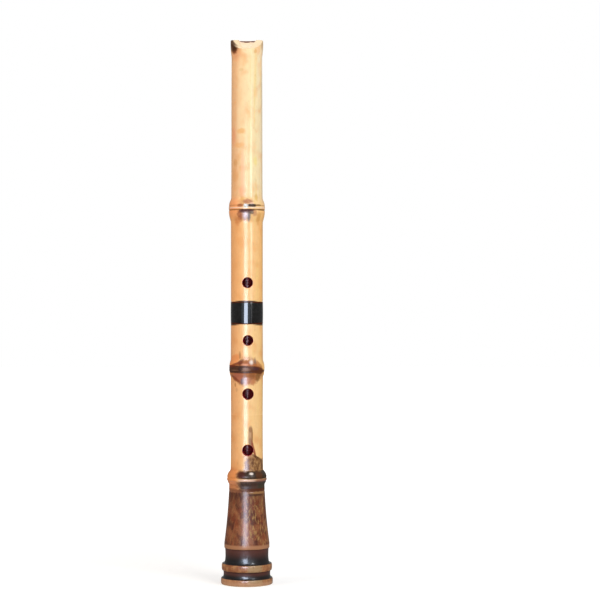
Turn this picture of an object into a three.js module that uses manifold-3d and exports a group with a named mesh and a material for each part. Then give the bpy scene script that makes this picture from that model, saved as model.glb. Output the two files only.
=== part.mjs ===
// A two-piece bamboo shakuhachi that stands on its root end: +Z runs up to the mouth, the blowing edge
// and the four finger holes face -Y, and the origin is the centre of the root end. Sizes are millimetres.
import * as THREE from "three";
import { mergeVertices } from "three/addons/utils/BufferGeometryUtils.js";
import Module from "manifold-3d";

const wasm = await Module();
wasm.setup();

// Whole flute, up to the back of the rim, and the height at which its two halves part
const FLUTE_LENGTH = 545;
const PARTING_HEIGHT = 272;

// Swollen nodes of the bamboo: height and radius of the ridge, how far the swelling reaches up and
// down the stalk, and how far under the ridge the fine scar of the leaf sheath runs
const MOUTH_NODE = { height: FLUTE_LENGTH, radius: 16.25, fall: 19 };
const UPPER_NODE = { height: 375.2, radius: 18, rise: 10.5, fall: 13.5, scar: 1.6 };
const LOWER_NODE = { height: 214.8, radius: 17.65, rise: 9.5, fall: 8, scar: 2.2 };
const ROOT_NODE = { height: 106, radius: 19.8, rise: 8.3, fall: 6.5, scar: 2.5 };
const SCAR_DEPTH = 0.4;
const SCAR_WIDTH = 1.4;

// Stalk between two nodes: its radius at the lower end, the waist and the upper end
const UPPER_STALK = { low: 15.75, waist: 15.45, high: 15.1 };
const MIDDLE_STALK = { low: 16.15, waist: 15.9, high: 15.95 };
const LOWER_STALK = { low: 16.55, waist: 15.95, high: 16.3 };

// Mouth: rounding of the rim, tilt of its cut, and the length of bamboo bore above the lining
const RIM_ROUND = 1.1;
const RIM_TILT_DEGREES = 4;
const UNLINED_MOUTH = 24;

// Blowing edge: its depth under the top, the facet's angle to the axis and its bow from side to side
const EDGE_DROP = 4.4;
const FACET_DEGREES = 39;
const FACET_BOW_RADIUS = 40;

// Inlay of the blowing edge, a keystone let into the facet, measured along the slope from the edge
const INLAY_RISE = 4;
const INLAY_HEIGHT = 7.2;
const INLAY_TOP_WIDTH = 16.4;
const INLAY_FOOT_WIDTH = 8;
const INLAY_DEPTH = 3;

// Root end from the ground up: base ring, groove, middle ring, groove, lip, then the cone to the neck
const BASE_RING = { radius: 25.95, height: 6.8 };
const LOWER_GROOVE = { radius: 23.3, height: 6.9 };
const MIDDLE_RING = { radius: 25.2, height: 7.5 };
const UPPER_GROOVE = { radius: 21.5, height: 14.6 };
const LIP = { radius: 22.6, height: 5.2 };
const NECK_RADIUS = 17.75;
const CONE_SAG = 0.75;
const RING_ROUND = 1.1;

// Bore: its radius at the mouth, the parting, the throat and the root end, and the lining's thickness
const MOUTH_BORE_RADIUS = 10.5;
const PARTING_BORE_RADIUS = 8.6;
const THROAT_RADIUS = 7.6;
const THROAT_HEIGHT = 118;
const ROOT_BORE_RADIUS = 9.2;
const LINING_THICKNESS = 1;
const LINING_RECESS = 0.6;

// Middle joint: a tenon held by the upper half, in a socket of the lower half that a sleeve lines
const TENON_WALL = 2;
const TENON_REACH = 21.5;
const TENON_ROOT = 20.4;
const TENON_LINING = 0.6;
const TENON_CHAMFER = 0.6;
const SLEEVE_WALL = 0.8;

// Binding beside the parting: thread wound in a turned seat, under a black band with a turned-in lip
const UPPER_BAND_HEIGHT = 10.2;
const LOWER_BAND_HEIGHT = 12.1;
const BAND_WALL = 0.8;
const BAND_PROUD = 0.15;
const BAND_CROWN = 0.15;
const THREAD_THICKNESS = 0.6;

// Holes: radius and sideways place of each, the bamboo left between the joint and its two neighbours,
// and the spacing of the others
const HOLE_1 = { radius: 5.35, side: 1.3 };
const HOLE_2 = { radius: 5.35, side: 1.5 };
const HOLE_3 = { radius: 4.95, side: 1.5 };
const HOLE_4 = { radius: 5.1, side: 1 };
const THUMB_HOLE = { radius: 5.1, side: 0 };
const SOCKET_LAND = 1.55;
const TENON_LAND = 3.3;
const SPACING_1_TO_2 = 55.9;
const SPACING_2_TO_3 = 53.3;
const SPACING_4_TO_THUMB = 35;

// Gaps: bonded pieces, the sliding fit, the tenon's two ends, and the faces of the two halves
const GLUE_GAP = 0.1;
const FIT_GAP = 0.2;
const END_GAP = 0.3;
const PARTING_GAP = 0.1;
const OVERRUN = 5;

// Facets and steps
const SIDES = 40;
const HOLE_SIDES = 24;
const ROUND_STEPS = 2;
const BOW_STEPS = 10;
const SWELL_STEPS = 5;
const STALK_STEPS = 3;
const CONE_STEPS = 4;
const CROWN_STEPS = 4;

const FRONT = -1;
const BACK = 1;
const { degToRad, lerp } = THREE.MathUtils;

// Sizes that follow from the ones above
const TENON_RADIUS = PARTING_BORE_RADIUS + TENON_LINING + GLUE_GAP + TENON_WALL;
const TENON_TIP = PARTING_HEIGHT - TENON_REACH;
const TENON_TOP = PARTING_HEIGHT + TENON_ROOT;
const SOCKET_FLOOR = TENON_TIP - END_GAP;
const SOCKET_CEILING = TENON_TOP + END_GAP;
const SLEEVE_RADIUS = TENON_RADIUS + FIT_GAP + SLEEVE_WALL;
const LOWER_FACE = PARTING_HEIGHT - PARTING_GAP;
const LINING_TOP = FLUTE_LENGTH - UNLINED_MOUTH;
const BAND_RADIUS = MIDDLE_STALK.waist + BAND_PROUD;
const THREAD_RADIUS = BAND_RADIUS - BAND_WALL - GLUE_GAP;
const SEAT_RADIUS = THREAD_RADIUS - THREAD_THICKNESS - GLUE_GAP;
const HOLE_3_HEIGHT = SOCKET_FLOOR - SOCKET_LAND - HOLE_3.radius;
const HOLE_2_HEIGHT = HOLE_3_HEIGHT - SPACING_2_TO_3;
const HOLE_1_HEIGHT = HOLE_2_HEIGHT - SPACING_1_TO_2;
const HOLE_4_HEIGHT = SOCKET_CEILING + TENON_LAND + HOLE_4.radius;
const THUMB_HEIGHT = HOLE_4_HEIGHT + SPACING_4_TO_THUMB;
const RIM_FLAT_RADIUS = MOUTH_NODE.radius - RIM_ROUND;
const LIP_FOOT = BASE_RING.height + LOWER_GROOVE.height + MIDDLE_RING.height + UPPER_GROOVE.height;
const LIP_TOP = LIP_FOOT + LIP.height;
const NECK_HEIGHT = ROOT_NODE.height - ROOT_NODE.fall;

const at = (radius, height) => new THREE.Vector2(radius, height);

// A closed outline of radius and height, turned about Z
function turned(outline) {
  const loop = [...outline, outline[0]];
  return new THREE.LatheGeometry(loop, SIDES).rotateX(Math.PI / 2);
}

function solidOf(geometry) {
  const bare = geometry.clone();
  bare.deleteAttribute("normal");
  bare.deleteAttribute("uv");
  const merged = mergeVertices(bare);
  const mesh = new wasm.Mesh({
    numProp: 3,
    vertProperties: merged.attributes.position.array,
    triVerts: new Uint32Array(merged.index.array),
  });
  return new wasm.Manifold(mesh);
}

function geometryOf(solid) {
  const mesh = solid.getMesh();
  const geometry = new THREE.BufferGeometry();
  geometry.setAttribute("position", new THREE.BufferAttribute(mesh.vertProperties, 3));
  geometry.setIndex(new THREE.BufferAttribute(mesh.triVerts, 1));
  const faceted = geometry.toNonIndexed();
  faceted.computeVertexNormals();
  return faceted;
}

// The bore narrows from the mouth to the throat and opens again to the root end
function boreRadius(height) {
  if (height > PARTING_HEIGHT) {
    const up = (height - PARTING_HEIGHT) / (FLUTE_LENGTH - PARTING_HEIGHT);
    return lerp(PARTING_BORE_RADIUS, MOUTH_BORE_RADIUS, up);
  }
  if (height > THROAT_HEIGHT) {
    const up = (height - THROAT_HEIGHT) / (PARTING_HEIGHT - THROAT_HEIGHT);
    return lerp(THROAT_RADIUS, PARTING_BORE_RADIUS, up);
  }
  return lerp(ROOT_BORE_RADIUS, THROAT_RADIUS, height / THROAT_HEIGHT);
}

// Share of a node's swelling left at a share of its reach: full at the ridge, none at the end
function swellingShare(reachShare) {
  return Math.max(0, 1 - Math.abs(reachShare) ** 3) ** 1.5;
}

// Radius of the bamboo between two nodes
function stalkRadius(stalk, below, above, height) {
  const place = (2 * (height - below.height)) / (above.height - below.height) - 1;
  const end = place < 0 ? stalk.low : stalk.high;
  const plain = lerp(stalk.waist, end, place * place);
  const fromBelow = swellingShare((height - below.height) / below.rise);
  const fromAbove = swellingShare((above.height - height) / above.fall);
  return plain + (below.radius - stalk.low) * fromBelow + (above.radius - stalk.high) * fromAbove;
}

// Radius of the bamboo from the lip of the root end up to the root node
function coneRadius(height) {
  const up = Math.min(1, (height - LIP_TOP) / (NECK_HEIGHT - LIP_TOP));
  const plain = lerp(LIP.radius, NECK_RADIUS, up) - 4 * CONE_SAG * up * (1 - up);
  const swelling = swellingShare((ROOT_NODE.height - height) / ROOT_NODE.fall);
  return plain + (ROOT_NODE.radius - NECK_RADIUS) * swelling;
}

function outerRadius(height) {
  if (height > UPPER_NODE.height) return stalkRadius(UPPER_STALK, UPPER_NODE, MOUTH_NODE, height);
  if (height > LOWER_NODE.height) return stalkRadius(MIDDLE_STALK, LOWER_NODE, UPPER_NODE, height);
  if (height > ROOT_NODE.height) return stalkRadius(LOWER_STALK, ROOT_NODE, LOWER_NODE, height);
  return coneRadius(height);
}

// Outline points on the bamboo's skin at even steps from one height to another, the last one left out
function skin(from, to, steps) {
  const points = [];
  for (let i = 0; i < steps; i++) {
    const height = lerp(from, to, i / steps);
    points.push(at(outerRadius(height), height));
  }
  return points;
}

// Outline points over a node, from the foot of its swelling to the top, with its scar under the ridge
function nodeSkin(node) {
  const scar = node.height - node.scar;
  const low = scar - SCAR_WIDTH / 2;
  const high = scar + SCAR_WIDTH / 2;
  return [
    ...skin(node.height - node.fall, low, SWELL_STEPS),
    at(outerRadius(low), low),
    at(outerRadius(scar) - SCAR_DEPTH, scar),
    at(outerRadius(high), high),
    ...skin(node.height, node.height + node.rise, SWELL_STEPS),
  ];
}

// Outline points round a corner of the given size, from one angle to another
function corner(radius, height, size, fromDegrees, toDegrees) {
  const points = [];
  for (let i = 0; i <= ROUND_STEPS; i++) {
    const angle = degToRad(lerp(fromDegrees, toDegrees, i / ROUND_STEPS));
    points.push(at(radius + size * Math.cos(angle), height + size * Math.sin(angle)));
  }
  return points;
}

// Tilts the rim by sliding the top of the flute down towards the front, most at the rim itself
function tiltRim(geometry) {
  const positions = geometry.attributes.position;
  const foot = FLUTE_LENGTH - MOUTH_NODE.fall;
  const slope = Math.tan(degToRad(RIM_TILT_DEGREES));
  for (let i = 0; i < positions.count; i++) {
    const share = Math.max(0, (positions.getZ(i) - foot) / MOUTH_NODE.fall);
    const drop = (RIM_FLAT_RADIUS - positions.getY(i)) * slope * share;
    positions.setZ(i, positions.getZ(i) - drop);
  }
  return geometry;
}

// Cutter for a hole through the wall on the front or the back
function holeCutter(hole, height, facing) {
  const reach = ROOT_NODE.radius + OVERRUN;
  const shaft = new THREE.CylinderGeometry(hole.radius, hole.radius, reach, HOLE_SIDES);
  return solidOf(shaft.translate(hole.side, (facing * reach) / 2, height));
}

// Turns a shape whose Z runs up the facet's slope and whose Y runs into the wall to its place
function onFacet(geometry) {
  geometry.rotateX(-degToRad(FACET_DEGREES));
  return geometry.translate(0, FRONT * MOUTH_BORE_RADIUS, FLUTE_LENGTH - EDGE_DROP);
}

// Cutter for the facet: everything outside its bowed face
function facetCutter() {
  const halfWidth = MOUTH_NODE.radius + OVERRUN;
  const reach = 2 * (MOUTH_NODE.radius + OVERRUN);
  const outline = [at(halfWidth, -reach), at(-halfWidth, -reach)];
  for (let i = 0; i <= BOW_STEPS; i++) {
    const side = lerp(-halfWidth, halfWidth, i / BOW_STEPS);
    const bow = FACET_BOW_RADIUS - Math.sqrt(FACET_BOW_RADIUS ** 2 - side ** 2);
    outline.push(at(side, bow));
  }
  const slab = new THREE.ExtrudeGeometry(new THREE.Shape(outline), {
    depth: 2 * reach,
    bevelEnabled: false,
  });
  return solidOf(onFacet(slab.translate(0, 0, -reach)));
}

// Keystone prism that the inlay and its pocket are cut from, smaller on every side by a gap
function keystone(gap) {
  const top = INLAY_RISE + OVERRUN;
  const slant = (INLAY_TOP_WIDTH - INLAY_FOOT_WIDTH) / 2 / (INLAY_RISE + INLAY_HEIGHT);
  const halfFoot = INLAY_FOOT_WIDTH / 2 - gap;
  const foot = gap - INLAY_HEIGHT;
  const halfTop = halfFoot + slant * (top - foot);
  const outline = [at(-halfFoot, foot), at(halfFoot, foot), at(halfTop, top), at(-halfTop, top)];
  const prism = new THREE.ExtrudeGeometry(new THREE.Shape(outline), {
    depth: INLAY_DEPTH - gap + OVERRUN,
    bevelEnabled: false,
  });
  prism.translate(0, 0, -(INLAY_DEPTH - gap));
  return solidOf(onFacet(prism.rotateX(Math.PI / 2)));
}

// Bamboo of the upper half before the inlay's pocket is cut
function upperBlank() {
  const bandTop = PARTING_HEIGHT + UPPER_BAND_HEIGHT + GLUE_GAP;
  const tenonSeat = TENON_RADIUS + GLUE_GAP;
  const liningSeat = LINING_THICKNESS + GLUE_GAP;
  const swellFoot = UPPER_NODE.height - UPPER_NODE.fall;
  const swellEnd = UPPER_NODE.height + UPPER_NODE.rise;
  const mouthFoot = FLUTE_LENGTH - MOUTH_NODE.fall;
  const rim = FLUTE_LENGTH - RIM_ROUND;
  const outline = [
    at(tenonSeat, PARTING_HEIGHT),
    at(SEAT_RADIUS, PARTING_HEIGHT),
    at(SEAT_RADIUS, bandTop),
    ...skin(bandTop, swellFoot, STALK_STEPS),
    ...nodeSkin(UPPER_NODE),
    ...skin(swellEnd, mouthFoot, STALK_STEPS),
    ...skin(mouthFoot, rim, SWELL_STEPS),
    ...corner(RIM_FLAT_RADIUS, rim, RIM_ROUND, 0, 90),
    at(MOUTH_BORE_RADIUS, FLUTE_LENGTH),
    at(boreRadius(LINING_TOP), LINING_TOP),
    at(boreRadius(LINING_TOP) + liningSeat, LINING_TOP),
    at(boreRadius(SOCKET_CEILING) + liningSeat, SOCKET_CEILING),
    at(tenonSeat, SOCKET_CEILING),
  ];
  return solidOf(tiltRim(turned(outline)))
    .subtract(facetCutter())
    .subtract(holeCutter(HOLE_4, HOLE_4_HEIGHT, FRONT))
    .subtract(holeCutter(THUMB_HOLE, THUMB_HEIGHT, BACK));
}

function upperCulm() {
  return geometryOf(upperBlank().subtract(keystone(0)));
}

// The inlay ends flush with the facet in front and with the bore behind
function blowingEdgeInlay() {
  return geometryOf(upperBlank().intersect(keystone(GLUE_GAP)));
}

// Bamboo of the lower half, with the rings of the root end
function lowerCulm() {
  const bandFoot = LOWER_FACE - LOWER_BAND_HEIGHT - GLUE_GAP;
  const socketWall = SLEEVE_RADIUS + GLUE_GAP;
  const liningSeat = LINING_THICKNESS + GLUE_GAP;
  const grooveFoot = BASE_RING.height;
  const middleFoot = grooveFoot + LOWER_GROOVE.height;
  const middleTop = middleFoot + MIDDLE_RING.height;
  const baseEdge = BASE_RING.radius - RING_ROUND;
  const middleEdge = MIDDLE_RING.radius - RING_ROUND;
  const lipEdge = LIP.radius - RING_ROUND;
  const outline = [
    at(ROOT_BORE_RADIUS + liningSeat, 0),
    ...corner(baseEdge, RING_ROUND, RING_ROUND, -90, 0),
    ...corner(baseEdge, grooveFoot - RING_ROUND, RING_ROUND, 0, 90),
    at(LOWER_GROOVE.radius, grooveFoot),
    at(LOWER_GROOVE.radius, middleFoot),
    ...corner(middleEdge, middleFoot + RING_ROUND, RING_ROUND, -90, 0),
    ...corner(middleEdge, middleTop - RING_ROUND, RING_ROUND, 0, 90),
    at(UPPER_GROOVE.radius, middleTop),
    at(UPPER_GROOVE.radius, LIP_FOOT),
    ...corner(lipEdge, LIP_FOOT + RING_ROUND, RING_ROUND, -30, 0),
    ...skin(LIP_TOP, NECK_HEIGHT, CONE_STEPS),
    ...nodeSkin(ROOT_NODE),
    ...skin(ROOT_NODE.height + ROOT_NODE.rise, LOWER_NODE.height - LOWER_NODE.fall, STALK_STEPS),
    ...nodeSkin(LOWER_NODE),
    ...skin(LOWER_NODE.height + LOWER_NODE.rise, bandFoot, STALK_STEPS),
    at(outerRadius(bandFoot), bandFoot),
    at(SEAT_RADIUS, bandFoot),
    at(SEAT_RADIUS, LOWER_FACE),
    at(socketWall, LOWER_FACE),
    at(socketWall, SOCKET_FLOOR),
    at(boreRadius(SOCKET_FLOOR) + liningSeat, SOCKET_FLOOR),
    at(THROAT_RADIUS + liningSeat, THROAT_HEIGHT),
  ];
  const culm = solidOf(turned(outline))
    .subtract(holeCutter(HOLE_3, HOLE_3_HEIGHT, FRONT))
    .subtract(holeCutter(HOLE_2, HOLE_2_HEIGHT, FRONT))
    .subtract(holeCutter(HOLE_1, HOLE_1_HEIGHT, FRONT));
  return geometryOf(culm);
}

// Lining of the upper bore, thinner where it runs on down inside the tenon
function upperBoreLining() {
  const top = LINING_TOP - GLUE_GAP;
  const tip = TENON_TIP + END_GAP;
  const outline = [
    at(boreRadius(tip), tip),
    at(boreRadius(tip) + TENON_LINING, tip),
    at(boreRadius(SOCKET_CEILING) + TENON_LINING, SOCKET_CEILING),
    at(boreRadius(SOCKET_CEILING) + LINING_THICKNESS, SOCKET_CEILING),
    at(boreRadius(top) + LINING_THICKNESS, top),
    at(boreRadius(top), top),
    at(PARTING_BORE_RADIUS, PARTING_HEIGHT),
  ];
  const lining = solidOf(turned(outline))
    .subtract(holeCutter(HOLE_4, HOLE_4_HEIGHT, FRONT))
    .subtract(holeCutter(THUMB_HOLE, THUMB_HEIGHT, BACK));
  return geometryOf(lining);
}

// Lining of the lower bore, from the root end to the floor of the socket
function lowerBoreLining() {
  const outline = [
    at(boreRadius(LINING_RECESS), LINING_RECESS),
    at(boreRadius(LINING_RECESS) + LINING_THICKNESS, LINING_RECESS),
    at(THROAT_RADIUS + LINING_THICKNESS, THROAT_HEIGHT),
    at(boreRadius(SOCKET_FLOOR) + LINING_THICKNESS, SOCKET_FLOOR),
    at(boreRadius(SOCKET_FLOOR), SOCKET_FLOOR),
    at(THROAT_RADIUS, THROAT_HEIGHT),
  ];
  const lining = solidOf(turned(outline))
    .subtract(holeCutter(HOLE_3, HOLE_3_HEIGHT, FRONT))
    .subtract(holeCutter(HOLE_2, HOLE_2_HEIGHT, FRONT))
    .subtract(holeCutter(HOLE_1, HOLE_1_HEIGHT, FRONT));
  return geometryOf(lining);
}

function jointTenon() {
  const clear = TENON_LINING + GLUE_GAP;
  return turned([
    at(boreRadius(TENON_TIP) + clear, TENON_TIP),
    at(TENON_RADIUS - TENON_CHAMFER, TENON_TIP),
    at(TENON_RADIUS, TENON_TIP + TENON_CHAMFER),
    at(TENON_RADIUS, TENON_TOP),
    at(boreRadius(TENON_TOP) + clear, TENON_TOP),
    at(PARTING_BORE_RADIUS + clear, PARTING_HEIGHT),
  ]);
}

function jointSocketSleeve() {
  const foot = SOCKET_FLOOR + GLUE_GAP;
  return turned([
    at(SLEEVE_RADIUS - SLEEVE_WALL, foot),
    at(SLEEVE_RADIUS, foot),
    at(SLEEVE_RADIUS, LOWER_FACE),
    at(SLEEVE_RADIUS - SLEEVE_WALL, LOWER_FACE),
  ]);
}

// Barrel-shaped black band with a lip turned in over the thread at the parting
function jointBand(face, away, height) {
  const inner = BAND_RADIUS - BAND_WALL;
  const lip = SEAT_RADIUS + GLUE_GAP;
  const far = face + away * height;
  const outline = [at(lip, face)];
  for (let i = 0; i <= CROWN_STEPS; i++) {
    const up = i / CROWN_STEPS;
    const crown = 4 * BAND_CROWN * up * (1 - up);
    outline.push(at(BAND_RADIUS + crown, lerp(face, far, up)));
  }
  outline.push(at(inner, far));
  outline.push(at(inner, face + away * BAND_WALL));
  outline.push(at(lip, face + away * BAND_WALL));
  return turned(away > 0 ? outline : outline.reverse());
}

// Flat winding of thread between the band's lip and the end of its seat
function bandThread(face, away, height) {
  const near = face + away * (BAND_WALL + GLUE_GAP);
  const far = face + away * height;
  const inner = THREAD_RADIUS - THREAD_THICKNESS;
  const outline = [at(inner, near), at(THREAD_RADIUS, near), at(THREAD_RADIUS, far), at(inner, far)];
  return turned(away > 0 ? outline : outline.reverse());
}

function finish(color, roughness) {
  return new THREE.MeshStandardMaterial({ color, roughness, metalness: 0 });
}

const flute = new THREE.Group();
function addPiece(name, geometry, material) {
  const mesh = new THREE.Mesh(geometry, material);
  mesh.name = name;
  flute.add(mesh);
}

addPiece("lower_culm", lowerCulm(), finish("#cf9a62", 0.3));
addPiece("lower_bore_lining", lowerBoreLining(), finish("#6e2018", 0.25));
addPiece("joint_socket_sleeve", jointSocketSleeve(), finish("#7a2a1c", 0.3));
addPiece("lower_band_thread", bandThread(LOWER_FACE, -1, LOWER_BAND_HEIGHT), finish("#8c7a5e", 0.8));
addPiece("lower_joint_band", jointBand(LOWER_FACE, -1, LOWER_BAND_HEIGHT), finish("#1c1b19", 0.15));
addPiece("joint_tenon", jointTenon(), finish("#7a2a1c", 0.3));
addPiece("upper_culm", upperCulm(), finish("#ecc48e", 0.25));
addPiece("upper_bore_lining", upperBoreLining(), finish("#6e2018", 0.25));
addPiece("upper_band_thread", bandThread(PARTING_HEIGHT, 1, UPPER_BAND_HEIGHT), finish("#8c7a5e", 0.8));
addPiece("upper_joint_band", jointBand(PARTING_HEIGHT, 1, UPPER_BAND_HEIGHT), finish("#1c1b19", 0.15));
addPiece("blowing_edge_inlay", blowingEdgeInlay(), finish("#efe3d0", 0.3));

export default flute;
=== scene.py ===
import math

import bmesh
import bpy
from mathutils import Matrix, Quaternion, Vector


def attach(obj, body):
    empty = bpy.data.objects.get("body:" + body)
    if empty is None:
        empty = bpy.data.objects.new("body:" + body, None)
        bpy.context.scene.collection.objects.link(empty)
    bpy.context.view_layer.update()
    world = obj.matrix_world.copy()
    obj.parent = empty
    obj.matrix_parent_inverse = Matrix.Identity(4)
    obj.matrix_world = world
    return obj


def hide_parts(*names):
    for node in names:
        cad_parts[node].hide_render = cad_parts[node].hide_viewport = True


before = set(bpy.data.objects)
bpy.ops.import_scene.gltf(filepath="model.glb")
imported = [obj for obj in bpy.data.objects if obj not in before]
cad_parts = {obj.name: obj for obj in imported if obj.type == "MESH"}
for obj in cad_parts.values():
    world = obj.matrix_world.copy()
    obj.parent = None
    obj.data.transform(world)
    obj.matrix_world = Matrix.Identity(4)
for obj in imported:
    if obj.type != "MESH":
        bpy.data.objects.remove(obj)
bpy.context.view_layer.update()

scene = bpy.context.scene
scene.view_settings.view_transform = "Standard"
MM = 0.001

# Camera, level, a little above the flute's mid-height and to its right, far enough off that the
# culm hardly narrows towards its ends.
camera_data = bpy.data.cameras.new("camera")
camera_data.sensor_width = 36
camera_data.lens = 113.8
camera_data.clip_end = 50
camera = bpy.data.objects.new("camera", camera_data)
camera.location = (0.0532, -1.9, 0.2839)
camera.rotation_euler = (math.pi / 2, 0, 0)
scene.collection.objects.link(camera)
scene.camera = camera

# Lower culm: one length of bamboo with its root end, turned and filed into rings, and with three
# finger holes. The skin is lacquered, and the hole walls are lacquered dark red. Sizes are in mm.
PARTING = 272
FLUTE_LENGTH = 545
MOUTH_BORE = 10.5
PARTING_BORE = 8.6
THROAT = (7.6, 118)
ROOT_BORE = 9.2
LINING_SEAT = 1.1
SEAT_RADIUS = 14.45
SOCKET_WALL = 12.4
SOCKET_FLOOR = 250.2
LOWER_FACE = 271.9
LOWER_BAND_FOOT = 259.7
# Holes: height, how far to the right of the middle, radius, and on which side of the culm
FRONT, BACK = -1, 1
LOWER_HOLES = ((134.45, 1.3, 5.35, FRONT), (190.35, 1.5, 5.35, FRONT), (243.7, 1.5, 4.95, FRONT))
# Rounded edge of a hole: how much wider than the hole, at a depth under the skin
HOLE_EDGE = ((0.5, -0.04), (0.34, 0.02), (0.2, 0.1), (0.09, 0.22), (0.02, 0.38), (0, 0.6))
LOWER_NODE = {"height": 214.8, "radius": 17.65, "rise": 9.5, "fall": 8}
ROOT_NODE = {"height": 106, "radius": 19.8, "rise": 8.3, "fall": 6.5}
UPPER_NODE = {"height": 375.2, "radius": 18, "rise": 10.5, "fall": 13.5}
MOUTH_NODE = {"height": FLUTE_LENGTH, "radius": 16.25, "fall": 19}
# Stalks between two nodes: radius just over the lower node, half way up and just under the upper node
STALKS = (
    (UPPER_NODE, MOUTH_NODE, (15.75, 15.45, 15.1)),
    (LOWER_NODE, UPPER_NODE, (16.15, 15.9, 15.95)),
    (ROOT_NODE, LOWER_NODE, (16.55, 15.95, 16.3)),
)
# Cone of the root: radius and height of its top and of its foot, and how far it is hollowed
NECK = (17.75, 99.5)
LIP = (22.6, 41)
CONE_SAG = 0.75
# Raised rings of the root end: radius, lower and upper edge, and size of the soft edges
BASE_RING = (25.95, 0, 6.8, 1.3)
MIDDLE_RING = (25.2, 13.7, 21.2, 1.6)
# Grooves between them: radius, and how far the lower and the upper lip stand out
LOWER_GROOVE = (23.3, 0.7, 0.3)
UPPER_GROOVE = (21.5, 1.2, 0.3)
GROOVE_GAP = 0.1
GROOVE_TOP, GROOVE_LACQUER_TOP = 35.8, 36.4
# Lower edge of the lip over them: radius and height of the middle of its rounding, and its size
LIP_EDGE = (21.4, 37, 1.2)
# Fine rings round the nodes: height, how far they stand out (cut in where negative) and half width
LINES = (
    (378, -0.22, 0.45), (373.6, -0.4, 0.55), (375.8, 0.14, 0.8),
    (217.4, -0.1, 0.5), (212.2, -0.16, 0.6), (214.6, 0.08, 1),
    (106.5, -0.3, 0.55), (102.7, -0.3, 0.55), (104.6, 0.16, 0.8), (93.4, -0.2, 0.8),
)
# Bud scars: degrees round from the front, lower and upper edge, radius at the foot and its slope
LOWER_SCARS = ((15.5, 109.8, 112.4, 19.1, -0.2), (17, 219.8, 224, 17.4, -0.12))
# Top of the sole, the worn rings and the stained foot, and places of the culms' materials after the skin
SOLE_TOP, RINGS_TOP, FOOT_TOP = 0.5, 36.2, 170
CUT, LACQUERED, RINGS, FOOT = 1, 2, 3, 4


def bore_radius(height):
    """Radius of the bore, which narrows from the mouth to the throat and opens to the root end."""
    if height > PARTING:
        return PARTING_BORE + (height - PARTING) / (FLUTE_LENGTH - PARTING) * (MOUTH_BORE - PARTING_BORE)
    if height > THROAT[1]:
        return THROAT[0] + (height - THROAT[1]) / (PARTING - THROAT[1]) * (PARTING_BORE - THROAT[0])
    return ROOT_BORE + height / THROAT[1] * (THROAT[0] - ROOT_BORE)


def swelling(reach):
    """Swelling of the skin towards a node, from 1 at the node to 0 at the reach."""
    return max(0.0, 1 - abs(reach) ** 3) ** 1.5


def culm_radius(height):
    """Radius of the bamboo's skin in mm at a height in mm, with the rings round its nodes."""
    lines = sum(rise * math.exp(-(((height - at) / half) ** 2)) for at, rise, half in LINES)
    for below, above, (low, waist, high) in STALKS:
        if height > below["height"]:
            place = 2 * (height - below["height"]) / (above["height"] - below["height"]) - 1
            plain = waist + ((low if place < 0 else high) - waist) * place * place
            up = swelling((height - below["height"]) / below["rise"])
            down = swelling((above["height"] - height) / above["fall"])
            return plain + (below["radius"] - low) * up + (above["radius"] - high) * down + lines
    up = min(1, (height - LIP[1]) / (NECK[1] - LIP[1]))
    plain = LIP[0] + (NECK[0] - LIP[0]) * up - 4 * CONE_SAG * up * (1 - up)
    bulge = swelling((ROOT_NODE["height"] - height) / ROOT_NODE["fall"])
    return plain + (ROOT_NODE["radius"] - NECK[0]) * bulge + lines


def skin(low, high):
    """Points up the skin from low to under high, close together where the rings of a node are."""
    ring_reach, node_reach, least = 2.2, 12, 0.05
    fine_step, middle_step, long_step = 0.3, 1.0, 2.0
    points, height = [], low
    while height < high - least:
        points.append((culm_radius(height), height))
        near = min(abs(height - at) for at, _, _ in LINES)
        height += fine_step if near < ring_reach else middle_step if near < node_reach else long_step
    return points


def corner(radius, height, size, start, end, steps=6):
    """Points round a corner of an outline, between two angles in degrees."""
    turn = [math.radians(start + (end - start) * i / steps) for i in range(steps + 1)]
    return [(radius + size * math.cos(a), height + size * math.sin(a)) for a in turn]


def cove(low, high, radius, below, above, steps=14):
    """Points up a hollow groove whose two lips stand out by below and above."""
    hollowness = 0.7
    points = []
    for i in range(steps + 1):
        t = 2 * i / steps - 1
        out = (below if t < 0 else above) * (1 - (1 - t * t) ** hollowness)
        points.append((radius + out, low + (high - low) * i / steps))
    return points


def rounded(radius, low, high, edge, steps=18):
    """Points up the face of a raised ring, slightly barrel-shaped with soft edges."""
    flatness = 2 / 3
    points = []
    for i in range(steps + 1):
        turn = math.pi * (i / steps - 0.5)
        out = radius - edge + edge * math.cos(turn) ** flatness
        up = math.copysign(abs(math.sin(turn)) ** flatness, turn)
        points.append((out, (low + high) / 2 + up * (high - low) / 2))
    return points


def spun(outline, steps, merge, closed=True):
    """An outline of distances from the Z axis and heights, turned round that axis."""
    bm = bmesh.new()
    points = [bm.verts.new((r, 0, z)) for r, z in outline]
    for a, b in zip(points, points[1:] + points[:1] if closed else points[1:]):
        bm.edges.new((a, b))
    bmesh.ops.spin(bm, geom=bm.verts[:] + bm.edges[:], cent=(0, 0, 0), axis=(0, 0, 1),
                   dvec=(0, 0, 0), angle=math.tau, steps=steps, use_merge=True)
    bmesh.ops.remove_doubles(bm, verts=bm.verts[:], dist=merge)
    return bm


def made(name, bm, *materials):
    """A smooth object from a closed shape, with its faces pointing outwards."""
    bmesh.ops.recalc_face_normals(bm, faces=bm.faces[:])
    if bm.calc_volume(signed=True) < 0:
        bmesh.ops.reverse_faces(bm, faces=bm.faces[:])
    mesh = bpy.data.meshes.new(name)
    bm.to_mesh(mesh)
    bm.free()
    mesh.shade_smooth()
    for material in materials:
        mesh.materials.append(material)
    piece = bpy.data.objects.new(name, mesh)
    scene.collection.objects.link(piece)
    return piece


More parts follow.
